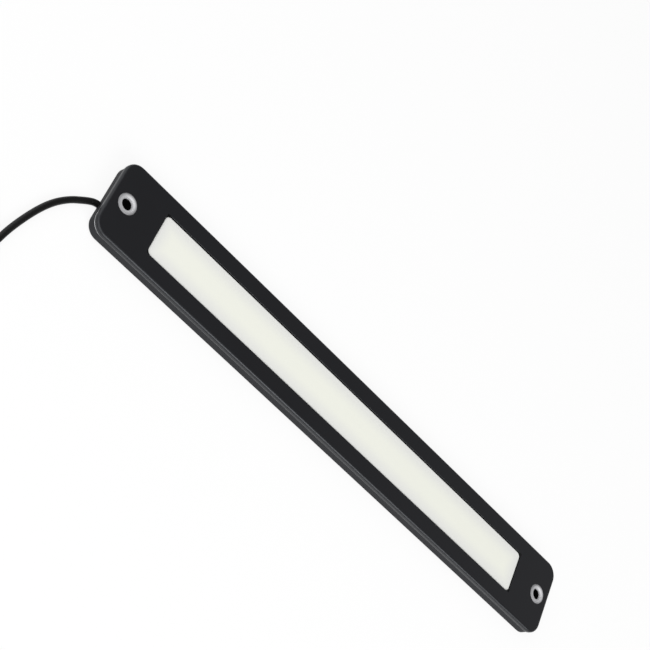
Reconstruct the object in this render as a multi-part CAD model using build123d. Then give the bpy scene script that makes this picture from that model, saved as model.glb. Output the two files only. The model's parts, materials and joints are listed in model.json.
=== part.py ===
"""Slim daytime running light, lying on its back with its face up.

Frame: +X along the lamp (the cable leaves at -X), +Y across it, +Z out of the face.
The origin is under the middle of the lamp, on the surface that its rolled eyelet rims rest on.
All sizes are in millimetres.
"""
import os
from math import cos, pi, radians, sin, tan

from build123d import *

# Front bezel
bezel_length = 242.0
bezel_width = 31.2
bezel_height = 2.1
bezel_corner_radius = 5.5
bezel_edge_radius = 1.0
bezel_lower_edge_radius = 0.35
bezel_plate = 1.3
window_end_margin = 21.0
window_side_margin = 6.9
window_corner_radius = 2.0
window_edge_radius = 0.2
lip_height = 0.9
lip_thickness = 0.8
lip_clearance = 0.1

# Rear housing
base_inset = 0.35
base_height = 3.7
base_wall = 2.0
base_floor = 1.2
base_edge_radius = 0.4
end_floor = 2.3
rail_thickness = 1.2
rail_offset = 0.4
rib_thickness = 1.0
rib_count = 7
boss_lip_gap = 0.15

# Seal in the top of the wall
seal_groove_inset = 0.6
seal_groove_width = 0.8
seal_groove_depth = 0.7
seal_clearance = 0.05

# Opal lens and its gasket
lens_recess = 0.5
lens_clearance = 0.1
lens_wall = 1.2
lens_flange_width = 2.0
lens_flange_thickness = 0.8
lens_edge_radius = 0.3
gasket_thickness = 0.3

# Light engine
tape_thickness = 0.2
tape_margin = 2.0
board_thickness = 1.0
board_clearance = 0.3
led_count = 24
led_end_margin = 8.0
led_length = 3.5
led_width = 2.8
led_height = 0.7
led_cup_margin = 0.5
led_cup_depth = 0.1
leds_per_string = 3
resistor_length = 3.2
resistor_width = 1.6
resistor_height = 0.55
resistor_edge_distance = 4.0
diode_length = 2.8
diode_width = 1.7
diode_height = 1.1
diode_gap = 3.0
solder_length = 2.2
solder_width = 1.8
solder_height = 1.0
solder_edge_radius = 0.4
solder_end_gap = 3.6

# Rolled eyelets that rivet the two shells together and take the fixing screws
eyelet_bore_radius = 2.05
eyelet_sheet = 0.3
eyelet_roll_radius = 0.95
eyelet_crown = 0.4
eyelet_end_distance = 6.7
eyelet_clearance = 0.05
rim_roll_radius = 0.5
rim_drop = 0.8

# Cable, its channel in the back and its two cores
cable_radius = 1.2
cable_y = -4.4
channel_clearance = 0.05
root_length = 12.6
pocket_length = 5.2
pocket_width = 3.8
pocket_overlap = 1.0
pocket_corner_radius = 0.6
potting_drop = 0.7
potting_edge = 0.3
core_radius = 0.45
core_gap = 0.1
core_bend_radius = 1.1
core_spread = 1.0
core_slot_clearance = 0.45
core_headroom = 0.05
core_rise_inset = 1.5

# Free cable: plan offsets from the exit, chosen by hand, then a put-away coil
cable_route = [(-3.9, 0.0), (-7.4, -1.8), (-11.0, -6.7), (-15.1, -15.2),
               (-18.8, -25.0), (-22.2, -36.2), (-25.1, -47.3)]
arc_share = 0.45
coil_radius = 16.2
coil_pitch = 2.5
coil_layers_turns = 2.73
coil_edge = 1.0
tie_width = 3.0
tie_thickness = 0.35
tie_clearance = 0.2
tie_head_length = 4.0
tie_head_height = 2.2
tie_angle = 270.0
tail_route = [(7.0, -0.8), (14.0, -2.2), (21.0, -2.85)]
end_lead_route = [(7.0, 0.0), (14.5, 1.2), (21.5, 3.4)]
tip_length = 5.0
tip_radius = 0.35

# Heights above the floor
back_z = rim_drop
floor_z = back_z + base_floor
end_floor_z = back_z + end_floor
parting_z = back_z + base_height
face_z = parting_z + bezel_height
plate_z = face_z - bezel_plate
lens_top_z = face_z - lens_recess
flange_top_z = plate_z - gasket_thickness
flange_z = flange_top_z - lens_flange_thickness
board_z = floor_z + tape_thickness
board_top_z = board_z + board_thickness
core_run_z = flange_z - core_headroom - core_radius

# Plan sizes
base_length = bezel_length - 2 * base_inset
base_width = bezel_width - 2 * base_inset
base_corner_radius = bezel_corner_radius - base_inset
cavity_length = base_length - 2 * base_wall
cavity_width = base_width - 2 * base_wall
cavity_corner_radius = base_corner_radius - base_wall
window_length = bezel_length - 2 * window_end_margin
window_width = bezel_width - 2 * window_side_margin
lens_length = window_length - 2 * lens_clearance
lens_width = window_width - 2 * lens_clearance
lens_corner_radius = window_corner_radius - lens_clearance
flange_length = lens_length + 2 * lens_flange_width
flange_width = lens_width + 2 * lens_flange_width
flange_corner_radius = lens_corner_radius + lens_flange_width
box_length = window_length + 2 * rail_offset
box_width = window_width + 2 * rail_offset
rail_length = box_length + 2 * rail_thickness
rail_width = box_width + 2 * rail_thickness
board_length = box_length - 2 * board_clearance
board_width = box_width - 2 * board_clearance
eyelet_x = bezel_length / 2 - eyelet_end_distance
barrel_radius = eyelet_bore_radius + eyelet_sheet
barrel_hole_radius = barrel_radius + eyelet_clearance
boss_radius = cavity_length / 2 - lip_clearance - lip_thickness - boss_lip_gap - eyelet_x
channel_radius = cable_radius + channel_clearance
channel_top_z = cable_radius + channel_radius
cable_exit = Vector(-base_length / 2, cable_y, cable_radius)
root_end_x = cable_exit.X + root_length
pocket_x = root_end_x - pocket_overlap + pocket_length / 2
core_offset = core_radius + core_gap / 2
core_rise_x = pocket_x + pocket_length / 2 - core_rise_inset
solder_x = -board_length / 2 + solder_end_gap


def slab(length, width, corner_radius, low_z, high_z):
    """Upright prism of a rounded rectangle, centred on the origin."""
    outline = RectangleRounded(length, width, corner_radius)
    return Pos(0, 0, low_z) * extrude(outline, high_z - low_z)


def block(length, width, low_z, high_z, x=0.0, y=0.0):
    """Plain box given by its plan size, its two heights and its plan centre."""
    return Pos(x, y, (low_z + high_z) / 2) * Box(length, width, high_z - low_z)


def post(radius, low_z, high_z, x, y=0.0):
    """Upright cylinder between two heights."""
    return Pos(x, y, (low_z + high_z) / 2) * Cylinder(radius, high_z - low_z)


def edges_at(solid, height):
    """Edges that lie wholly in the level plane at that height."""
    return solid.edges().filter_by_position(Axis.Z, height - 0.01, height + 0.01)


def front_bezel():
    """Frame with rounded edges, a locating lip inside the tray's wall and a collar at each eyelet."""
    shell = slab(bezel_length, bezel_width, bezel_corner_radius, parting_z, face_z)
    shell = fillet(edges_at(shell, face_z), bezel_edge_radius)
    shell = fillet(edges_at(shell, parting_z), bezel_lower_edge_radius)
    shell -= slab(cavity_length, cavity_width, cavity_corner_radius, parting_z, plate_z)
    shell -= slab(window_length, window_width, window_corner_radius, plate_z, face_z)
    window_edges = edges_at(shell, face_z).filter_by(
        lambda edge: abs(edge.center().X) <= window_length / 2 + 0.01
        and abs(edge.center().Y) <= window_width / 2 + 0.01
    )
    shell = fillet(window_edges, window_edge_radius)
    lip_outer = 2 * lip_clearance
    lip_inner = lip_outer + 2 * lip_thickness
    lip = slab(cavity_length - lip_outer, cavity_width - lip_outer,
               cavity_corner_radius - lip_clearance, parting_z - lip_height, plate_z)
    lip -= slab(cavity_length - lip_inner, cavity_width - lip_inner,
                cavity_corner_radius - lip_clearance - lip_thickness, parting_z - lip_height, plate_z)
    shell += lip
    for side in (-1, 1):
        shell += post(boss_radius, parting_z, plate_z, side * eyelet_x)
        shell -= post(barrel_hole_radius, parting_z, face_z, side * eyelet_x)
    return shell


def rear_housing():
    """Tray with a light box, end blocks for the eyelets, stiffening ribs and the cable's channel."""
    tray = slab(base_length, base_width, base_corner_radius, back_z, parting_z)
    tray = fillet(edges_at(tray, back_z), base_edge_radius)
    cavity = slab(cavity_length, cavity_width, cavity_corner_radius, floor_z, parting_z)
    ends = slab(cavity_length, cavity_width, cavity_corner_radius, floor_z, end_floor_z)
    ends -= block(rail_length, cavity_width, floor_z, end_floor_z)
    tray -= cavity
    tray += ends
    tray += light_box_walls()
    for side in (-1, 1):
        tray += post(boss_radius, end_floor_z, parting_z, side * eyelet_x)
        tray -= post(barrel_hole_radius, back_z, parting_z, side * eyelet_x)
    tray -= wall_groove(seal_groove_inset, seal_groove_width, seal_groove_depth)
    tray -= cable_channel()
    tray -= pocket(back_z)
    slot_length = 2 * (core_radius + core_slot_clearance)
    slot_width = 2 * (core_offset + core_radius + core_slot_clearance)
    slot = extrude(SlotOverall(slot_width, slot_length, rotation=90), end_floor_z - channel_top_z)
    tray -= Pos(core_rise_x, cable_y, channel_top_z) * slot
    notch_width = slot_width + 2 * core_spread
    tray -= block(3 * rail_thickness, notch_width, end_floor_z, flange_z, -box_length / 2, cable_y)
    return tray


def light_box_walls():
    """Upright walls round the board that carry the lens flange, with ribs out to the tray's wall."""
    walls = block(rail_length, rail_width, floor_z, flange_z)
    walls -= block(box_length, box_width, floor_z, flange_z)
    rib_reach = (cavity_width - rail_width) / 2
    rib_y = (cavity_width + rail_width) / 4
    rib_pitch = rail_length / (rib_count + 1)
    for number in range(rib_count):
        x = (number + 1) * rib_pitch - rail_length / 2
        for side in (-1, 1):
            walls += block(rib_thickness, rib_reach, floor_z, end_floor_z, x, side * rib_y)
    return walls


def wall_groove(inset, width, depth):
    """Ring along the middle of the tray's wall, down from the parting plane."""
    low_z = parting_z - depth
    ring = slab(base_length - 2 * inset, base_width - 2 * inset, base_corner_radius - inset,
                low_z, parting_z)
    inner = inset + width
    ring -= slab(base_length - 2 * inner, base_width - 2 * inner, base_corner_radius - inner,
                 low_z, parting_z)
    return ring


def level_rod(radius, start_x, end_x):
    """Cylinder along X at the cable's place and height."""
    rod = Cylinder(radius, end_x - start_x, rotation=(0, 90, 0))
    return Pos((start_x + end_x) / 2, cable_y, cable_radius) * rod


def cable_channel():
    """Snap-in channel for the cable in the back, from the end wall to the sealed pocket."""
    return level_rod(channel_radius, cable_exit.X - base_wall, pocket_x)


def pocket(low_z):
    """Pocket in the back where the cores turn up into the housing."""
    outline = RectangleRounded(pocket_length, pocket_width, pocket_corner_radius)
    return Pos(pocket_x, cable_y, low_z) * extrude(outline, channel_top_z - low_z)


def perimeter_seal():
    """Sealing cord that fills the groove along the parting line."""
    width = seal_groove_width - 2 * seal_clearance
    return wall_groove(seal_groove_inset + seal_clearance, width, seal_groove_depth)


def diffuser_lens():
    """Opal lens: a shallow inverted tray whose raised face stands in the window."""
    lens = slab(lens_length, lens_width, lens_corner_radius, flange_z, lens_top_z)
    lens = fillet(edges_at(lens, lens_top_z), lens_edge_radius)
    lens += slab(flange_length, flange_width, flange_corner_radius, flange_z, flange_top_z)
    lens -= slab(lens_length - 2 * lens_wall, lens_width - 2 * lens_wall,
                 max(lens_corner_radius - lens_wall, lens_edge_radius), flange_z, lens_top_z - lens_wall)
    return lens


def lens_gasket():
    """Flat frame between the lens flange and the underside of the bezel."""
    frame = slab(flange_length, flange_width, flange_corner_radius, flange_top_z, plate_z)
    frame -= slab(window_length, window_width, window_corner_radius, flange_top_z, plate_z)
    return frame


def thermal_tape():
    """Bonding strip under the board."""
    return block(board_length - 2 * tape_margin, board_width - 2 * tape_margin, floor_z, board_z)


def led_board():
    """Aluminium-core board that fills the floor of the light box."""
    return block(board_length, board_width, board_z, board_top_z)


def led_places():
    """Plan places of the LEDs along the middle of the board."""
    first_x = -window_length / 2 + led_end_margin
    pitch = -2 * first_x / (led_count - 1)
    return [first_x + number * pitch for number in range(led_count)]


def led_packages():
    """Surface-mount LEDs, each with a shallow cup in its top."""
    top_z = board_top_z + led_height
    package = block(led_length, led_width, board_top_z, top_z)
    package -= block(led_length - 2 * led_cup_margin, led_width - 2 * led_cup_margin,
                     top_z - led_cup_depth, top_z)
    return Compound([Pos(x, 0, 0) * package for x in led_places()])


def ballast_resistors():
    """One resistor beside the middle of each string of LEDs."""
    places = led_places()
    strings = [places[start:start + leds_per_string] for start in range(0, led_count, leds_per_string)]
    row_y = board_width / 2 - resistor_edge_distance
    resistor = block(resistor_length, resistor_width, board_top_z, board_top_z + resistor_height)
    return Compound([Pos(sum(xs) / len(xs), row_y, 0) * resistor for xs in strings])


def protection_diode():
    """Reverse-voltage diode just behind the solder joints."""
    x = solder_x + solder_length / 2 + diode_gap + diode_length / 2
    return block(diode_length, diode_width, board_top_z, board_top_z + diode_height, x, cable_y)


def core_y(side):
    """Plan place of a core in the jacket, and of its solder joint on the board."""
    start = cable_y + side * core_offset
    return start, start + side * core_spread


def solder_joints():
    """Two solder mounds that end the cores on the board."""
    mound = block(solder_length, solder_width, board_top_z, board_top_z + solder_height)
    mound = fillet(mound.faces().sort_by(Axis.X)[-1].edges().filter_by(Axis.Z), solder_edge_radius)
    return Compound([Pos(solder_x, core_y(side)[1], 0) * mound for side in (-1, 1)])


def tube(points, radii, radius):
    """Round rod along straight runs joined by tangent arcs."""
    path = FilletPolyline(*points, radius=radii)
    section = Plane(origin=path @ 0, z_dir=path % 0) * Circle(radius)
    return sweep(section, path=path), path.length


def inner_lead(side):
    """Core from the end of the jacket, up through the floor and across to its solder joint."""
    start_y, end_y = core_y(side)
    points = [
        Vector(root_end_x, start_y, cable_radius),
        Vector(core_rise_x, start_y, cable_radius),
        Vector(core_rise_x, start_y, core_run_z),
        Vector(solder_x - solder_length / 2, end_y, core_run_z),
    ]
    rod, _ = tube(points, [core_bend_radius] * 2, core_radius)
    stop = block(solder_length, 4 * core_radius, board_top_z, face_z, solder_x, end_y)
    return rod - stop


def cable_root():
    """Jacket inside the channel, from the end wall to where the cores leave it."""
    return level_rod(cable_radius, cable_exit.X, root_end_x)


def cable_potting():
    """Sealing compound that fills the pocket and covers the end of the jacket."""
    pad_z = back_z - potting_drop
    fill = pocket(pad_z)
    fill = chamfer(edges_at(fill, pad_z), potting_edge)
    fill -= cable_root()
    for side in (-1, 1):
        fill -= inner_lead(side)
    return fill


def eyelet(side):
    """Eyelet of sheet metal: domed flange on the face, barrel, and a rim rolled over on the back."""
    flange_r = eyelet_bore_radius + eyelet_roll_radius
    flange_c = face_z + eyelet_crown - eyelet_roll_radius
    under_radius = eyelet_roll_radius - eyelet_sheet
    foot = face_z - flange_c
    foot_outer = flange_r + (eyelet_roll_radius ** 2 - foot ** 2) ** 0.5
    foot_inner = flange_r + (under_radius ** 2 - foot ** 2) ** 0.5
    rim_r = eyelet_bore_radius + rim_roll_radius
    rim_outer = eyelet_bore_radius + 2 * rim_roll_radius
    outline = [
        Line((eyelet_bore_radius, rim_roll_radius), (eyelet_bore_radius, flange_c)),
        ThreePointArc((eyelet_bore_radius, flange_c), (flange_r, face_z + eyelet_crown),
                      (foot_outer, face_z)),
        Line((foot_outer, face_z), (foot_inner, face_z)),
        Line((foot_inner, face_z), (flange_r, flange_c + under_radius)),
        Line((flange_r, flange_c + under_radius), (barrel_radius, face_z)),
        Line((barrel_radius, face_z), (barrel_radius, back_z)),
        Line((barrel_radius, back_z), (rim_outer, back_z)),
        Line((rim_outer, back_z), (rim_outer, rim_roll_radius)),
        ThreePointArc((rim_outer, rim_roll_radius), (rim_r, 0), (eyelet_bore_radius, rim_roll_radius)),
    ]
    profile = Plane.XZ * make_face(outline)
    return Pos(side * eyelet_x, 0, 0) * revolve(profile, Axis.Z)


def arc_radii(points):
    """Radius of each corner's arc, as large as the shorter of its two runs allows."""
    radii = []
    for before, corner, after in zip(points, points[1:], points[2:]):
        arriving = corner - before
        leaving = after - corner
        turn = radians(arriving.get_angle(leaving))
        radii.append(arc_share * min(arriving.length, leaving.length) / tan(turn / 2))
    return radii


def cord_tube(name, points, radius):
    """Tube of a free cord; prints its radii and compares its volume with section times length."""
    radii = arc_radii(points)
    solid, length = tube(points, radii, radius)
    print(name, "radii", [round(value, 1) for value in radii], "length", round(length, 1),
          "volume ratio", round(solid.volume / (pi * radius ** 2 * length), 4))
    return solid


def cable_points():
    """Route of the free cable on the floor, from its exit to the outer turn of the coil."""
    return [cable_exit] + [cable_exit + Vector(x, y, 0) for x, y in cable_route]


def coil_centre():
    """Middle of the coil, to the right of the cable where it arrives."""
    points = cable_points()
    heading = (points[-1] - points[-2]).normalized()
    return points[-1] + Vector(heading.Y, -heading.X, 0) * coil_radius


def coil_inner_radius():
    """Radius of the innermost turn."""
    return coil_radius - coil_pitch * coil_layers_turns


def coil_top_z():
    """Height of the top of the coil's upper layer."""
    return tie_thickness + 2 * cable_radius + coil_pitch


def cable_coil():
    """Outer form of the two-layer coil."""
    inner = coil_inner_radius() - cable_radius
    outer = coil_radius + cable_radius
    section = Rectangle(outer - inner, coil_top_z() - tie_thickness)
    section = chamfer(section.vertices(), coil_edge)
    middle = Vector((inner + outer) / 2, 0, (tie_thickness + coil_top_z()) / 2)
    ring = revolve(Plane.XZ * (Pos(middle.X, middle.Z) * section), Axis.Z)
    centre = coil_centre()
    return Pos(centre.X, centre.Y, 0) * ring


def cable():
    """Free cable from the end wall to the coil."""
    return cord_tube("cable", cable_points(), cable_radius) - cable_coil()


def tail_points():
    """Route of the cable's end, from the coil's upper layer down to the floor along +Y."""
    centre = coil_centre()
    start = Vector(centre.X - coil_radius, centre.Y, tie_thickness + cable_radius + coil_pitch)
    return [start] + [start + Vector(0, along, rise) for along, rise in tail_route]


def cable_tail():
    """Short end of the jacket beyond the coil."""
    return cord_tube("cable_tail", tail_points(), cable_radius) - cable_coil()


def end_lead_points(side):
    """Route of one stripped core, fanning out on the floor from the end of the jacket."""
    start = tail_points()[-1] + Vector(side * core_offset, 0, 0)
    drop = start.Z - core_radius
    points = [start]
    for number, (along, out) in enumerate(end_lead_route, 1):
        fall = drop * min(1.0, number / 2)
        points.append(start + Vector(side * out, along, -fall))
    return points


def end_lead(side):
    """Insulation of one stripped core at the far end."""
    name = "end_lead_red" if side < 0 else "end_lead_black"
    return cord_tube(name, end_lead_points(side), core_radius) - cable_tail()


def lead_tip(side):
    """Tinned strands at the end of one core."""
    points = end_lead_points(side)
    heading = (points[-1] - points[-2]).normalized()
    section = Plane(origin=points[-1], z_dir=heading) * Circle(tip_radius)
    return extrude(section, tip_length)


def coil_tie():
    """Strap round the coil's turns, with its head on top."""
    inner = coil_inner_radius() - cable_radius - tie_clearance
    outer = coil_radius + cable_radius + tie_clearance
    high_z = coil_top_z() + tie_thickness + tie_clearance
    middle = (inner + outer) / 2
    strap = block(outer - inner + 2 * tie_thickness, tie_width, 0, high_z, middle)
    strap = chamfer(strap.edges().filter_by(Axis.Y), coil_edge)
    hollow = block(outer - inner, tie_width, tie_thickness, high_z - tie_thickness, middle)
    strap -= chamfer(hollow.edges().filter_by(Axis.Y), coil_edge - tie_thickness / 2)
    strap += block(tie_head_length, tie_width, high_z, high_z + tie_head_height, middle)
    centre = coil_centre()
    return Pos(centre.X, centre.Y, 0) * Rot(0, 0, tie_angle) * strap


nodes = {
    "rear_housing": rear_housing(),
    "front_bezel": front_bezel(),
    "diffuser_lens": diffuser_lens(),
    "lens_gasket": lens_gasket(),
    "perimeter_seal": perimeter_seal(),
    "thermal_tape": thermal_tape(),
    "led_board": led_board(),
    "led_packages": led_packages(),
    "ballast_resistors": ballast_resistors(),
    "protection_diode": protection_diode(),
    "solder_joints": solder_joints(),
    "inner_lead_red": inner_lead(-1),
    "inner_lead_black": inner_lead(1),
    "cable_root": cable_root(),
    "cable_potting": cable_potting(),
    "eyelet_cable_end": eyelet(-1),
    "eyelet_free_end": eyelet(1),
    "cable": cable(),
    "cable_coil": cable_coil(),
    "cable_tail": cable_tail(),
    "coil_tie": coil_tie(),
    "end_lead_red": end_lead(-1),
    "end_lead_black": end_lead(1),
    "lead_tip_red": lead_tip(-1),
    "lead_tip_black": lead_tip(1),
}

os.makedirs("parts", exist_ok=True)
for name, solid in nodes.items():
    export_step(solid, f"parts/{name}.step")
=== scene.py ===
"""Looks of a slim daytime running light: its finishes, its supply cable, the studio and the camera."""
import json
import logging
import math
from dataclasses import dataclass, field
from enum import Enum, IntEnum

import bpy
from mathutils import Matrix, Vector


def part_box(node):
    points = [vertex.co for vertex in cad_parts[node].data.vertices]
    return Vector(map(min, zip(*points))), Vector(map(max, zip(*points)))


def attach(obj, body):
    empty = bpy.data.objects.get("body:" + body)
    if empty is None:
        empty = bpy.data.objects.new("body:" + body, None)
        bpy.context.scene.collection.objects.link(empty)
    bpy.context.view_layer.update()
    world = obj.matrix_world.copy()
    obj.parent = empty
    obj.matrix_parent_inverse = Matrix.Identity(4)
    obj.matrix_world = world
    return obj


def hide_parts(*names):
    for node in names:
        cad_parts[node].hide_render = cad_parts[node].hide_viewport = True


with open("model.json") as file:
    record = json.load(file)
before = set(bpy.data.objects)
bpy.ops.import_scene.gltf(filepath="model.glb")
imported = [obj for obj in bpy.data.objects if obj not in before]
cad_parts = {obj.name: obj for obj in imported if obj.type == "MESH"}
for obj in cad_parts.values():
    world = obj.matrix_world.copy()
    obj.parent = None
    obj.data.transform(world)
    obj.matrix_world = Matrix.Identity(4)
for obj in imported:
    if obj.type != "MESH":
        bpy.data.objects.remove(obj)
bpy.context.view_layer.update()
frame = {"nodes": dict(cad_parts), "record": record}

BODY = "root"
MM = 0.001

Color = tuple[float, float, float]
Point = tuple[float, float, float]
Pair = tuple[float, float]

log = logging.getLogger("running_light")


class Ray(Enum):
    """Kinds of ray that see the studio floor as nearly plain white."""

    CAMERA = "Is Camera Ray"
    GLOSSY = "Is Glossy Ray"
    TRANSMISSION = "Is Transmission Ray"


class MixSocket(IntEnum):
    """Places of the colour sockets on a mix node."""

    FACTOR = 0
    RESULT = 2
    FIRST = 6
    SECOND = 7


class Sheet:
    """A node tree with short calls for adding and joining its nodes."""

    def __init__(self, tree: bpy.types.NodeTree) -> None:
        """Keeps the tree that the calls work on."""
        self.tree = tree

    def add(self, kind: str, values: dict[str, object] | None = None, **settings: object) -> bpy.types.Node:
        """Adds one node.

        Args:
            kind: Blender's name of the node type.
            values: input socket name to a constant, or to an output socket that feeds it.
            settings: attributes of the node itself.

        Returns:
            The new node.
        """
        node = self.tree.nodes.new(kind)
        for name, value in settings.items():
            setattr(node, name, value)
        for name, value in (values or {}).items():
            self.feed(node.inputs[name], value)
        return node

    def feed(self, socket: bpy.types.NodeSocket, value: object) -> None:
        """Links an output to a socket, or sets the socket's own value.

        Args:
            socket: input socket.
            value: constant, or the output socket that feeds it.
        """
        if isinstance(value, bpy.types.NodeSocket):
            self.tree.links.new(value, socket)
        else:
            socket.default_value = value

    def math(self, operation: str, first: object, second: object = 0.0, clamp: bool = False) -> object:
        """Adds a math node.

        Args:
            operation: Blender's name of the operation.
            first: constant or socket.
            second: constant or socket.
            clamp: whether the result is kept between 0 and 1.

        Returns:
            The node's output socket.
        """
        node = self.add("ShaderNodeMath", operation=operation, use_clamp=clamp)
        self.feed(node.inputs[0], first)
        self.feed(node.inputs[1], second)
        return node.outputs[0]

    def ramp(self, value: object, low: float, high: float, start: float, end: float) -> object:
        """Maps a value smoothly from one span to another.

        Args:
            value: socket that is mapped.
            low: value that gives start.
            high: value that gives end.
            start: result at low.
            end: result at high.

        Returns:
            The mapped output socket.
        """
        spans = {"Value": value, "From Min": low, "From Max": high, "To Min": start, "To Max": end}
        node = self.add("ShaderNodeMapRange", spans, interpolation_type="SMOOTHSTEP")
        return node.outputs["Result"]

    def mix(self, mask: object, first: object, second: object) -> object:
        """Mixes two colours by a mask.

        Args:
            mask: constant or socket, 0 for the first colour and 1 for the second.
            first: colour or socket.
            second: colour or socket.

        Returns:
            The mixed colour's output socket.
        """
        node = self.add("ShaderNodeMix", data_type="RGBA")
        self.feed(node.inputs[MixSocket.FACTOR], mask)
        self.feed(node.inputs[MixSocket.FIRST], first)
        self.feed(node.inputs[MixSocket.SECOND], second)
        return node.outputs[MixSocket.RESULT]

    def place(self) -> tuple[object, object, object]:
        """Splits the shaded point's own coordinates.

        Returns:
            The X, Y and Z output sockets, in metres.
        """
        coordinates = self.add("ShaderNodeTexCoord")
        split = self.add("ShaderNodeSeparateXYZ", {"Vector": coordinates.outputs["Object"]})
        return split.outputs["X"], split.outputs["Y"], split.outputs["Z"]

    def distance(self, along: object, across: object) -> object:
        """Gives the length of a plan vector.

        Args:
            along: its X socket.
            across: its Y socket.

        Returns:
            The length's output socket.
        """
        squares = self.math("ADD", self.math("MULTIPLY", along, along), self.math("MULTIPLY", across, across))
        return self.math("SQRT", squares)


def rgba(color: Color) -> tuple[float, float, float, float]:
    """Adds a full alpha to a colour."""
    return (*color, 1.0)


def new_group(name: str, inputs: dict[str, float | Color], outputs: dict[str, str]) -> Sheet:
    """Makes an empty shader node group.

    Args:
        name: the group's name.
        inputs: socket name to its default, a number or a colour.
        outputs: socket name to its socket type.

    Returns:
        A sheet on the group's tree, with its Group Input and Group Output nodes in place.
    """
    tree = bpy.data.node_groups.new(name, "ShaderNodeTree")
    for label, default in inputs.items():
        kind = "NodeSocketColor" if isinstance(default, tuple) else "NodeSocketFloat"
        socket = tree.interface.new_socket(label, in_out="INPUT", socket_type=kind)
        socket.default_value = rgba(default) if isinstance(default, tuple) else default
    for label, kind in outputs.items():
        tree.interface.new_socket(label, in_out="OUTPUT", socket_type=kind)
    sheet = Sheet(tree)
    sheet.add("NodeGroupInput", name="in")
    sheet.add("NodeGroupOutput", name="out")
    return sheet


@dataclass
class Effects:
    """Shader node groups that several finishes share, each built once."""

    fine_detail: float = 3.0
    fine_roughness: float = 0.6
    fine_share: float = 0.35
    drift_detail: float = 2.0
    drift_roughness: float = 0.5
    drift_span: Pair = (0.3, 0.7)
    drift_share: float = 0.65
    fleck_detail: float = 3.0
    fleck_span: Pair = (0.33, 0.53)
    grain: bpy.types.NodeTree = field(init=False)
    band: bpy.types.NodeTree = field(init=False)
    flecks: bpy.types.NodeTree = field(init=False)

    def __post_init__(self) -> None:
        """Builds the groups."""
        self.grain = self.build_grain()
        self.band = self.build_band()
        self.flecks = self.build_flecks()

    def build_grain(self) -> bpy.types.NodeTree:
        """Builds the grain and tone drift of a moulded or drawn surface.

        Returns:
            The group: colour and roughness that drift over the surface, and a fine height.
        """
        sheet = new_group(
            "moulded_grain",
            {"Color": (0.5, 0.5, 0.5), "Tint": (0.5, 0.5, 0.5), "Scale": 900.0, "Drift Scale": 40.0,
             "Smooth": 0.3, "Rough": 0.4},
            {"Color": "NodeSocketColor", "Roughness": "NodeSocketFloat", "Height": "NodeSocketFloat"},
        )
        given = sheet.tree.nodes["in"].outputs
        out = sheet.tree.nodes["out"].inputs
        place = sheet.add("ShaderNodeTexCoord").outputs["Object"]
        fine = sheet.add("ShaderNodeTexNoise", {
            "Vector": place, "Scale": given["Scale"], "Detail": self.fine_detail,
            "Roughness": self.fine_roughness})
        drift = sheet.add("ShaderNodeTexNoise", {
            "Vector": place, "Scale": given["Drift Scale"], "Detail": self.drift_detail,
            "Roughness": self.drift_roughness})
        spread = sheet.ramp(drift.outputs["Fac"], *self.drift_span, 0.0, 1.0)
        both = sheet.math("ADD", sheet.math("MULTIPLY", spread, self.drift_share),
                          sheet.math("MULTIPLY", fine.outputs["Fac"], self.fine_share), clamp=True)
        sheet.feed(out["Color"], sheet.mix(both, given["Color"], given["Tint"]))
        span = sheet.math("SUBTRACT", given["Rough"], given["Smooth"])
        sheet.feed(out["Roughness"], sheet.math("ADD", given["Smooth"], sheet.math("MULTIPLY", span, both)))
        sheet.feed(out["Height"], fine.outputs["Fac"])
        return sheet.tree

    def build_band(self) -> bpy.types.NodeTree:
        """Builds a mask of everything below a level.

        Returns:
            The group: 1 below the level, fading to 0 over the reach above it.
        """
        sheet = new_group("height_band", {"Level": 0.0, "Reach": 0.001}, {"Mask": "NodeSocketFloat"})
        given = sheet.tree.nodes["in"].outputs
        _, _, z = sheet.place()
        rise = sheet.math("DIVIDE", sheet.math("SUBTRACT", z, given["Level"]), given["Reach"])
        sheet.feed(sheet.tree.nodes["out"].inputs["Mask"], sheet.ramp(rise, 0.0, 1.0, 1.0, 0.0))
        return sheet.tree

    def build_flecks(self) -> bpy.types.NodeTree:
        """Builds a mask of broken flecks, which break up the painted glints on the bezel's lower edge.

        Returns:
            The group: a mask between the given least value and 1.
        """
        # mask that breaks the painted glints on the bezel's lower edge into flecks
        sheet = new_group("glint_flecks", {"Scale": 400.0, "Least": 0.5}, {"Mask": "NodeSocketFloat"})
        given = sheet.tree.nodes["in"].outputs
        place = sheet.add("ShaderNodeTexCoord").outputs["Object"]
        noise = sheet.add("ShaderNodeTexNoise", {
            "Vector": place, "Scale": given["Scale"], "Detail": self.fleck_detail})
        spots = sheet.ramp(noise.outputs["Fac"], *self.fleck_span, 0.0, 1.0)
        mask = sheet.math("MAXIMUM", spots, given["Least"])
        sheet.feed(sheet.tree.nodes["out"].inputs["Mask"], mask)
        return sheet.tree


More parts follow.
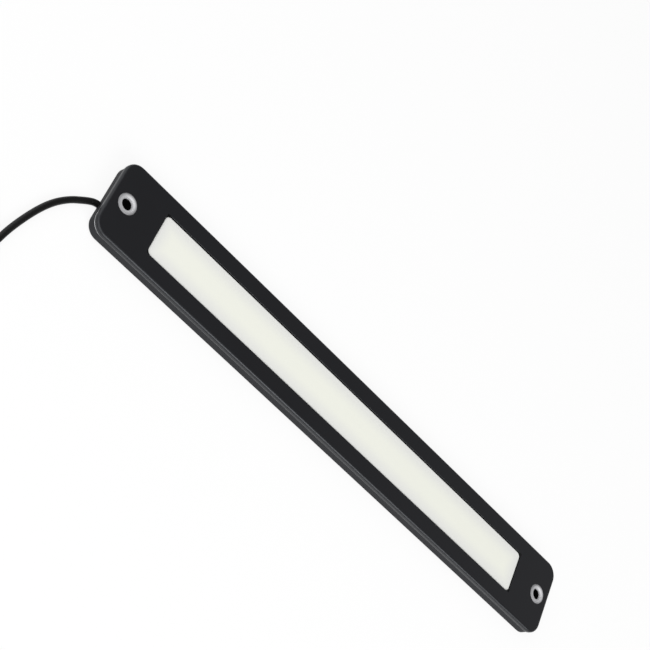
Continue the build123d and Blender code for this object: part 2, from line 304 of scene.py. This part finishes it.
@dataclass(frozen=True)
class Finish:
    """A finish with a drifting tone, roughness and a fine grain."""

    name: str
    color: Color
    tint: Color
    smooth: float
    rough: float
    metallic: float = 0.0
    specular: float = 0.5
    specular_tint: Color = (1.0, 1.0, 1.0)
    grain_scale: float = 900.0
    drift_scale: float = 40.0
    bump: float = 0.05
    bump_depth: float = 0.02 * MM

    def material(self, effects: Effects) -> bpy.types.Material:
        """Builds the material.

        Args:
            effects: the shared node groups.

        Returns:
            A new material with a Principled BSDF.
        """
        material = bpy.data.materials.new(self.name)
        material.use_nodes = True
        sheet = Sheet(material.node_tree)
        shader = material.node_tree.nodes["Principled BSDF"]
        sheet.feed(shader.inputs["Metallic"], self.metal(sheet, effects))
        shader.inputs["Specular IOR Level"].default_value = self.specular
        shader.inputs["Specular Tint"].default_value = rgba(self.specular_tint)
        grain = sheet.add("ShaderNodeGroup", {
            "Color": rgba(self.color), "Tint": rgba(self.tint), "Scale": self.grain_scale,
            "Drift Scale": self.drift_scale, "Smooth": self.smooth, "Rough": self.rough,
        }, node_tree=effects.grain)
        bump = sheet.add("ShaderNodeBump", {
            "Strength": self.bump, "Distance": self.bump_depth, "Height": grain.outputs["Height"]})
        sheet.feed(shader.inputs["Base Color"], self.tone(sheet, effects, grain.outputs["Color"]))
        sheet.feed(shader.inputs["Roughness"], self.gloss(sheet, effects, grain.outputs["Roughness"]))
        sheet.feed(shader.inputs["Normal"], bump.outputs["Normal"])
        return material

    def tone(self, sheet: Sheet, effects: Effects, color: object) -> object:
        """Gives the socket that colours the surface."""
        return color

    def gloss(self, sheet: Sheet, effects: Effects, roughness: object) -> object:
        """Gives the socket that sets the roughness."""
        return roughness

    def metal(self, sheet: Sheet, effects: Effects) -> object:
        """Gives the constant or socket that sets how metallic the surface is."""
        return self.metallic


@dataclass(frozen=True)
class BezelFinish(Finish):
    """Satin black of the bezel, with a painted highlight along its lower edge and painted shade on the wall
    round the window.
    """

    # pale colour of the painted highlight and painted glints along the lower edge
    painted_edge_color: Color = (0.92, 0.93, 0.95)
    edge_z: float = 0.0
    edge_reach: float = 0.19 * MM
    # strength of the faint painted highlight line along the whole lower edge
    faint: float = 0.08
    fleck_scale: float = 650.0
    corner: Pair = (0.0, 0.0)
    corner_core: float = 2.5 * MM
    corner_reach: float = 9.5 * MM
    # dark colour of the painted shade on the wall of the window
    wall_shade_color: Color = (0.02, 0.02, 0.021)
    half_length: float = 0.1
    half_width: float = 0.01

    def tone(self, sheet: Sheet, effects: Effects, color: object) -> object:
        """Mixes the painted highlight of the lower edge and the painted shade of the window's wall into the
        colour.
        """
        # painted highlight: a faint pale line along the lower edge, with bright broken glints near one corner
        with_highlight = sheet.mix(self.painted_highlight_mask(sheet, effects), color, rgba(self.painted_edge_color))
        # painted shade: the wall of the window painted dark and without its sheen
        return sheet.mix(self.wall_shade_mask(sheet), with_highlight, rgba(self.wall_shade_color))

    def metal(self, sheet: Sheet, effects: Effects) -> object:
        """Takes the plain sheen off the wall of the window, as part of its painted shade."""
        return self.wall_shade_mask(sheet)

    def wall_shade_mask(self, sheet: Sheet) -> object:
        """Marks the wall of the window, which gets painted shade.

        Args:
            sheet: the material's sheet.

        Returns:
            The mask's output socket.
        """
        x, y, _ = sheet.place()
        inside_length = sheet.math("LESS_THAN", sheet.math("ABSOLUTE", x), self.half_length)
        inside_width = sheet.math("LESS_THAN", sheet.math("ABSOLUTE", y), self.half_width)
        return sheet.math("MULTIPLY", inside_length, inside_width)

    def painted_highlight_mask(self, sheet: Sheet, effects: Effects) -> object:
        """Marks the painted highlight on the lower edge: a faint line, broken into bright painted glints at
        one corner.

        Args:
            sheet: the material's sheet.
            effects: the shared node groups.

        Returns:
            The mask's output socket.
        """
        band = sheet.add("ShaderNodeGroup", {"Level": self.edge_z, "Reach": self.edge_reach},
                         node_tree=effects.band)
        flecks = sheet.add("ShaderNodeGroup", {"Scale": self.fleck_scale}, node_tree=effects.flecks)
        x, y, _ = sheet.place()
        corner_x, corner_y = self.corner
        gap = sheet.distance(sheet.math("SUBTRACT", x, corner_x), sheet.math("SUBTRACT", y, corner_y))
        near = sheet.ramp(gap, self.corner_core, self.corner_reach, 1.0, 0.0)
        bright = sheet.math("MULTIPLY", near, flecks.outputs["Mask"])
        amount = sheet.math("MAXIMUM", bright, self.faint)
        return sheet.math("MULTIPLY", band.outputs["Mask"], amount)


@dataclass(frozen=True)
class LensFinish(Finish):
    """Opal plastic, with painted shade, a little darker and cooler, where it meets its frame."""

    # darker, cooler colour of the painted shade at the edges of the window
    painted_edge_color: Color = (0.803, 0.808, 0.784)
    half_length: float = 0.1
    half_width: float = 0.01
    edge_reach: float = 7.0 * MM

    def tone(self, sheet: Sheet, effects: Effects, color: object) -> object:
        """Paints shade into the colour towards the edges of the window.

        Args:
            sheet: the material's sheet.
            effects: the shared node groups; not used here.
            color: socket of the plain colour.

        Returns:
            The colour with its painted shade, as an output socket.
        """
        x, y, _ = sheet.place()
        end_gap = sheet.math("SUBTRACT", self.half_length, sheet.math("ABSOLUTE", x))
        side_gap = sheet.math("SUBTRACT", self.half_width, sheet.math("ABSOLUTE", y))
        gap = sheet.math("MINIMUM", end_gap, side_gap)
        # painted shade: the colour darkens towards the edges of the window
        return sheet.mix(sheet.ramp(gap, 0.0, self.edge_reach, 1.0, 0.0), color, rgba(self.painted_edge_color))


@dataclass(frozen=True)
class EyeletFinish(Finish):
    """Satin rolled metal, with painted shade on the outside of its roll and inside its barrel."""

    axis_x: float = 0.1
    # colour of the painted shade on the outside of the roll
    rim_shade_color: Color = (0.27, 0.27, 0.28)
    rim_start: float = 2.6 * MM
    rim_full: float = 3.7 * MM
    # near-black colour of the painted shade inside the barrel
    barrel_shade_color: Color = (0.004, 0.004, 0.004)
    barrel_z: float = 0.0
    barrel_fade: float = 0.25 * MM
    bore_radius: float = 2.08 * MM
    bore_fade: float = 0.12 * MM

    def tone(self, sheet: Sheet, effects: Effects, color: object) -> object:
        """Paints shade on the outside of the roll and inside the barrel."""
        # painted shade: the outside of the roll darker than its inner lip
        shaded_roll = sheet.mix(self.rim_shade_mask(sheet), color, rgba(self.rim_shade_color))
        # painted shade: the barrel painted near black inside
        return sheet.mix(self.barrel_shade_mask(sheet, effects), shaded_roll, rgba(self.barrel_shade_color))

    def gloss(self, sheet: Sheet, effects: Effects, roughness: object) -> object:
        """Dulls the barrel, as part of its painted shade."""
        return sheet.math("MAXIMUM", roughness, self.barrel_shade_mask(sheet, effects))

    def metal(self, sheet: Sheet, effects: Effects) -> object:
        """Takes the plain sheen off the barrel, as part of its painted shade."""
        return sheet.math("MAXIMUM", self.barrel_shade_mask(sheet, effects), self.metallic)

    def axis_distance(self, sheet: Sheet) -> object:
        """Gives the distance from the axis of the nearer eyelet."""
        x, y, _ = sheet.place()
        return sheet.distance(sheet.math("SUBTRACT", sheet.math("ABSOLUTE", x), self.axis_x), y)

    def rim_shade_mask(self, sheet: Sheet) -> object:
        """Marks the painted shade on the outside of the roll."""
        return sheet.ramp(self.axis_distance(sheet), self.rim_start, self.rim_full, 0.0, 1.0)

    def barrel_shade_mask(self, sheet: Sheet, effects: Effects) -> object:
        """Marks the painted shade in the barrel, which leaves out the rim rolled over on the back.

        Args:
            sheet: the material's sheet.
            effects: the shared node groups.

        Returns:
            The mask's output socket.
        """
        band = sheet.add("ShaderNodeGroup", {"Level": self.barrel_z, "Reach": self.barrel_fade},
                         node_tree=effects.band)
        fade_end = self.bore_radius + self.bore_fade
        inside = sheet.ramp(self.axis_distance(sheet), self.bore_radius, fade_end, 1.0, 0.0)
        return sheet.math("MULTIPLY", band.outputs["Mask"], inside)


@dataclass
class LampBody:
    """The lamp's own pieces: shells, lens, eyelets, seals and the light engine inside."""

    effects: Effects
    mouth_depth: float = 1.4 * MM
    edge_height: float = 0.32 * MM
    # offset from the bezel's corner to the middle of the painted glints
    glint_spot: float = 5.5 * MM
    window_half: Pair = (100.0 * MM, 8.7 * MM)
    window_margin: float = 0.05 * MM
    finishes: tuple[Finish, ...] = field(init=False)

    def __post_init__(self) -> None:
        """Chooses the finish of each material slot."""
        self.finishes = (self.bezel(), self.housing(), self.lens(), self.eyelets(), *self.small_parts(),
                         *self.wiring())

    def satin(self) -> dict[str, float]:
        """Gives the grain that both moulded shells share."""
        return {"grain_scale": 2600.0, "drift_scale": 30.0, "bump": 0.04, "bump_depth": 0.01 * MM}

    def bezel(self) -> Finish:
        """Chooses the bezel's finish.

        Returns:
            Satin black, with its painted edge highlight and the painted shade of its window's wall at the CAD
            bezel's places.
        """
        parting_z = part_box("rear_housing")[1].z
        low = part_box("front_bezel")[0]
        half_length, half_width = self.window_half
        return BezelFinish(
            "bezel_black", (0.0054, 0.0052, 0.0066), (0.0062, 0.0060, 0.0074), smooth=0.36, rough=0.40,
            specular=0.54, specular_tint=(0.91, 0.95, 1.0), edge_z=parting_z + self.edge_height,
            corner=(low.x, low.y + self.glint_spot), half_length=half_length + self.window_margin,
            half_width=half_width + self.window_margin, **self.satin())

    def housing(self) -> Finish:
        """Chooses the tray's finish.

        Returns:
            Satin black, a little paler than the bezel.
        """
        return Finish("housing_black", (0.0345, 0.0353, 0.0380), (0.0375, 0.0383, 0.0410), smooth=0.34,
                      rough=0.42, specular=0.015, **self.satin())

    def lens(self) -> Finish:
        """Chooses the lens's finish.

        Returns:
            Smooth opal, with painted shade towards the edges of the window.
        """
        half_length, half_width = self.window_half
        return LensFinish("lens_opal", (0.899, 0.908, 0.824), (0.891, 0.900, 0.820), smooth=0.28, rough=0.34,
                          specular=0.4, grain_scale=700.0, bump=0.02, half_length=half_length,
                          half_width=half_width)

    def eyelets(self) -> Finish:
        """Chooses the finish of both eyelets.

        Returns:
            Satin metal, with its painted shade on the outer roll and in the barrel, at the CAD eyelets' axis
            and height.
        """
        low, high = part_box("eyelet_free_end")
        return EyeletFinish("eyelet_metal", (0.60, 0.60, 0.615), (0.575, 0.575, 0.59), smooth=0.55,
                            rough=0.60, metallic=0.3, grain_scale=1500.0, drift_scale=120.0, bump=0.02,
                            axis_x=(low.x + high.x) / 2, barrel_z=high.z - self.mouth_depth)

    def small_parts(self) -> tuple[Finish, ...]:
        """Chooses the finishes of the seals, the board and what stands on it.

        Returns:
            One finish for each of their slots.
        """
        return (
            Finish("seal_rubber", (0.012, 0.012, 0.012), (0.02, 0.02, 0.02), smooth=0.6, rough=0.75),
            Finish("tape_white", (0.72, 0.72, 0.74), (0.62, 0.62, 0.64), smooth=0.5, rough=0.6),
            Finish("board_white", (0.80, 0.80, 0.78), (0.74, 0.74, 0.72), smooth=0.3, rough=0.42),
            Finish("led_yellow", (0.83, 0.60, 0.12), (0.78, 0.52, 0.08), smooth=0.25, rough=0.35,
                   drift_scale=400.0),
            Finish("chip_black", (0.02, 0.02, 0.022), (0.03, 0.03, 0.032), smooth=0.45, rough=0.6),
            Finish("solder", (0.62, 0.62, 0.63), (0.5, 0.5, 0.51), smooth=0.25, rough=0.4, metallic=1.0),
        )

    def wiring(self) -> tuple[Finish, ...]:
        """Chooses the finishes of the cable, its cores, its sealing compound and its tie.

        Returns:
            One finish for each of their slots.
        """
        return (
            Finish("core_red", (0.42, 0.012, 0.012), (0.34, 0.01, 0.01), smooth=0.35, rough=0.45),
            Finish("core_black", (0.012, 0.012, 0.012), (0.018, 0.018, 0.018), smooth=0.35, rough=0.45),
            Finish("cable_black", (0.0022, 0.0022, 0.0022), (0.0034, 0.0034, 0.0034), smooth=0.42, rough=0.5,
                   specular=0.3, grain_scale=1800.0, bump=0.04),
            Finish("potting_black", (0.01, 0.01, 0.01), (0.018, 0.018, 0.018), smooth=0.2, rough=0.4,
                   grain_scale=500.0, bump=0.3, bump_depth=0.1 * MM),
            Finish("tie_black", (0.012, 0.012, 0.012), (0.02, 0.02, 0.02), smooth=0.4, rough=0.5),
            Finish("tinned_copper", (0.66, 0.66, 0.67), (0.55, 0.54, 0.52), smooth=0.25, rough=0.4,
                   metallic=1.0),
        )

    def build(self) -> dict[str, bpy.types.Material]:
        """Dresses every CAD node with the finish of its slot.

        Returns:
            Slot name to its material.
        """
        materials = {finish.name: finish.material(self.effects) for finish in self.finishes}
        for part in frame["record"]["subparts"]:
            node = frame["nodes"][part["node"]]
            node.data.materials.clear()
            node.data.materials.append(materials[part["material_slot"]])
            log.info("dressed %s in %s", part["node"], part["material_slot"])
        return materials


@dataclass
class SupplyCable:
    """Thin round cable: its stretch on the floor, its put-away coil and its short tail."""

    materials: dict[str, bpy.types.Material]
    radius: float = 1.2 * MM
    length: float = 0.515
    exit: Point = (-120.65 * MM, -4.4 * MM, 1.2 * MM)
    route: tuple[Pair, ...] = (
        (-1.45, -0.15), (-4.05, -1.85), (-6.2, -3.6), (-8.5, -5.5), (-10.6, -7.75), (-12.6, -10.3),
        (-14.4, -13.2), (-16.0, -16.4), (-17.4, -19.7), (-18.7, -23.2), (-20.1, -27.4), (-21.3, -31.7),
        (-22.2, -36.2), (-25.1, -47.3),
    )
    coil_radius: float = 16.2 * MM
    coil_pitch: float = 2.5 * MM
    layer_turns: float = 2.73
    climb_turns: float = 0.16
    lift: float = 0.35 * MM
    points_per_turn: int = 16
    tail: tuple[Pair, ...] = ((7.0, -0.8), (14.0, -2.2), (21.0, -2.85))
    end_pieces: tuple[str, ...] = ("coil_tie", "end_lead_red", "end_lead_black", "lead_tip_red",
                                   "lead_tip_black")
    round_steps: int = 5
    run_steps: int = 8

    def build(self) -> bpy.types.Object:
        """Returns:
            The cable's curve object.
        """
        points = self.floor_points() + self.coil_points() + self.tail_points()
        curve = bpy.data.curves.new("supply_cable", "CURVE")
        curve.dimensions = "3D"
        curve.bevel_depth = self.radius
        curve.bevel_resolution = self.round_steps
        curve.resolution_u = self.run_steps
        curve.use_fill_caps = True
        spline = curve.splines.new("NURBS")
        spline.points.add(len(points) - 1)
        for target, point in zip(spline.points, points):
            target.co = (*point, 1.0)
        spline.order_u = 3
        spline.use_endpoint_u = True
        cable = bpy.data.objects.new("supply_cable", curve)
        bpy.context.scene.collection.objects.link(cable)
        curve.materials.append(self.materials["cable_black"])
        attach(cable, BODY)
        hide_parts("cable", "cable_coil", "cable_tail")
        log.info("laid supply_cable through %d points", len(points))
        return cable

    def floor_points(self) -> list[Vector]:
        """Gives the route on the floor, from the exit to the coil."""
        start = Vector(self.exit)
        return [start] + [start + Vector((x, y, 0.0)) * MM for x, y in self.route]

    def centre(self) -> Vector:
        """Finds the middle of the coil, to the right of the arriving cable.

        Returns:
            The middle, at the height of the cable on the floor.
        """
        before, arrival = self.floor_points()[-2:]
        heading = (arrival - before).normalized()
        return arrival + Vector((heading.y, -heading.x, 0.0)) * self.coil_radius

    def coil_points(self) -> list[Vector]:
        """Winds the coil: inwards on the floor, then outwards on top.

        Returns:
            The control points of all turns.
        """
        centre = self.centre()
        spoke = self.floor_points()[-1] - centre
        start_angle = math.atan2(spoke.y, spoke.x)
        total_turns = 2 * self.layer_turns
        count = round(total_turns * self.points_per_turn)
        step = total_turns / count
        reach = 1.0 / math.cos(math.pi * step)
        low = self.lift + self.radius
        points = []
        for number in range(count):
            turns = (number + 0.5) * step
            past = turns - self.layer_turns
            radius = self.coil_radius - self.coil_pitch * (self.layer_turns - abs(past))
            climb = min(max((past + self.climb_turns) / (2 * self.climb_turns), 0.0), 1.0)
            height = low + self.coil_pitch * climb * climb * (3 - 2 * climb)
            angle = start_angle - 2 * math.pi * turns
            spot = Vector((math.cos(angle), math.sin(angle), 0.0)) * radius * reach
            points.append(Vector((centre.x + spot.x, centre.y + spot.y, height)))
        return points

    def tail_points(self) -> list[Vector]:
        """Leads the end of the cable from the coil's upper layer down to the floor, along +Y.

        Returns:
            The control points of the tail.
        """
        centre = self.centre()
        start = Vector((centre.x - self.coil_radius, centre.y, self.lift + self.radius + self.coil_pitch))
        return [start] + [start + Vector((0.0, along, rise)) * MM for along, rise in self.tail]


@dataclass(frozen=True)
class Softbox:
    """A soft light that faces the lamp; a radiance of 1 is plain white."""

    name: str
    spot: Point
    size: Pair
    radiance: float

    def build(self) -> None:
        """Makes the light."""
        width, height = self.size
        data = bpy.data.lights.new(self.name, "AREA")
        data.shape = "RECTANGLE"
        data.size = width
        data.size_y = height
        data.energy = self.radiance * math.pi * width * height
        light = bpy.data.objects.new(self.name, data)
        bpy.context.scene.collection.objects.link(light)
        light.location = self.spot
        light.rotation_mode = "QUATERNION"
        light.rotation_quaternion = Vector(self.spot).to_track_quat("Z", "Y")


@dataclass
class Studio:
    """Pale floor, soft lights and the camera."""

    floor_size: float = 6.0
    floor_gap: float = 0.05 * MM
    floor_white: float = 0.96
    floor_roughness: float = 0.9
    floor_glow: float = 0.86
    world_level: float = 0.21
    camera_spot: Point = (-0.279426, -0.297939, 0.409455)
    camera_right: Point = (0.640006, 0.352909, 0.682530)
    camera_down: Point = (0.628393, -0.751578, -0.200631)
    camera_forward: Point = (0.442171, 0.557302, -0.702780)
    camera_near: float = 0.01
    lens: float = 88.973
    sensor: float = 36.0
    softboxes: tuple[Softbox, ...] = (
        Softbox("key_softbox", (-0.74, -0.58, 1.06), (2.1, 2.1), 1.43),
        Softbox("front_softbox", (0.50, -0.95, 0.75), (0.9, 0.6), 5.4),
        Softbox("left_softbox", (-0.92, 0.70, 0.40), (1.2, 1.0), 0.9),
        Softbox("far_softbox", (1.00, 0.50, 0.55), (0.6, 0.6), 0.2),
    )

    def build(self) -> None:
        """Makes the camera, the floor, the world and the lights."""
        self.make_camera()
        self.make_floor()
        self.make_world()
        for softbox in self.softboxes:
            softbox.build()
        bpy.context.scene.view_settings.view_transform = "Standard"
        log.info("lit the studio with %d softboxes", len(self.softboxes))

    def make_camera(self) -> None:
        """Sets the camera at the photograph's viewpoint."""
        data = bpy.data.cameras.new("camera")
        data.lens = self.lens
        data.sensor_width = self.sensor
        data.clip_start = self.camera_near
        camera = bpy.data.objects.new("camera", data)
        bpy.context.scene.collection.objects.link(camera)
        axes = (Vector(self.camera_right), -Vector(self.camera_down), -Vector(self.camera_forward))
        turn = Matrix(axes).transposed().to_4x4()
        camera.matrix_world = Matrix.Translation(Vector(self.camera_spot)) @ turn
        bpy.context.scene.camera = camera

    def make_floor(self) -> None:
        """Makes the pale floor, which keeps a soft shadow of the lamp."""
        half = self.floor_size / 2
        low = -self.floor_gap
        mesh = bpy.data.meshes.new("floor")
        corners = [(-half, -half, low), (half, -half, low), (half, half, low), (-half, half, low)]
        mesh.from_pydata(corners, [], [(0, 1, 2, 3)])
        floor = bpy.data.objects.new("floor", mesh)
        bpy.context.scene.collection.objects.link(floor)
        mesh.materials.append(self.floor_material())

    def floor_material(self) -> bpy.types.Material:
        """Builds the floor's paint: mostly plain white to the eye, and a matt white to the light.

        Returns:
            The floor's material.
        """
        material = bpy.data.materials.new("floor_white")
        material.use_nodes = True
        sheet = Sheet(material.node_tree)
        shader = material.node_tree.nodes["Principled BSDF"]
        shader.inputs["Base Color"].default_value = rgba((self.floor_white,) * 3)
        shader.inputs["Roughness"].default_value = self.floor_roughness
        shader.inputs["Specular IOR Level"].default_value = 0.0
        glow = sheet.add("ShaderNodeEmission", {"Strength": 1.0})
        path = sheet.add("ShaderNodeLightPath")
        seen = 0.0
        for ray in Ray:
            seen = sheet.math("MAXIMUM", path.outputs[ray.value], seen)
        mixed = sheet.add("ShaderNodeMixShader", {"Fac": sheet.math("MULTIPLY", seen, self.floor_glow)})
        plain, bright = mixed.inputs[1:]
        sheet.feed(plain, shader.outputs["BSDF"])
        sheet.feed(bright, glow.outputs["Emission"])
        output = material.node_tree.nodes["Material Output"]
        sheet.feed(output.inputs["Surface"], mixed.outputs["Shader"])
        return material

    def make_world(self) -> None:
        """Lights the room evenly and dimly from all round."""
        world = bpy.data.worlds.new("studio")
        world.use_nodes = True
        background = world.node_tree.nodes["Background"]
        background.inputs["Color"].default_value = rgba((1.0, 1.0, 1.0))
        background.inputs["Strength"].default_value = self.world_level
        bpy.context.scene.world = world


def main() -> None:
    """Builds the scene: camera and studio, finishes, then the cable."""
    logging.basicConfig(level=logging.INFO, format="%(message)s")
    Studio().build()
    materials = LampBody(Effects()).build()
    SupplyCable(materials).build()


if __name__ == "__main__":
    main()
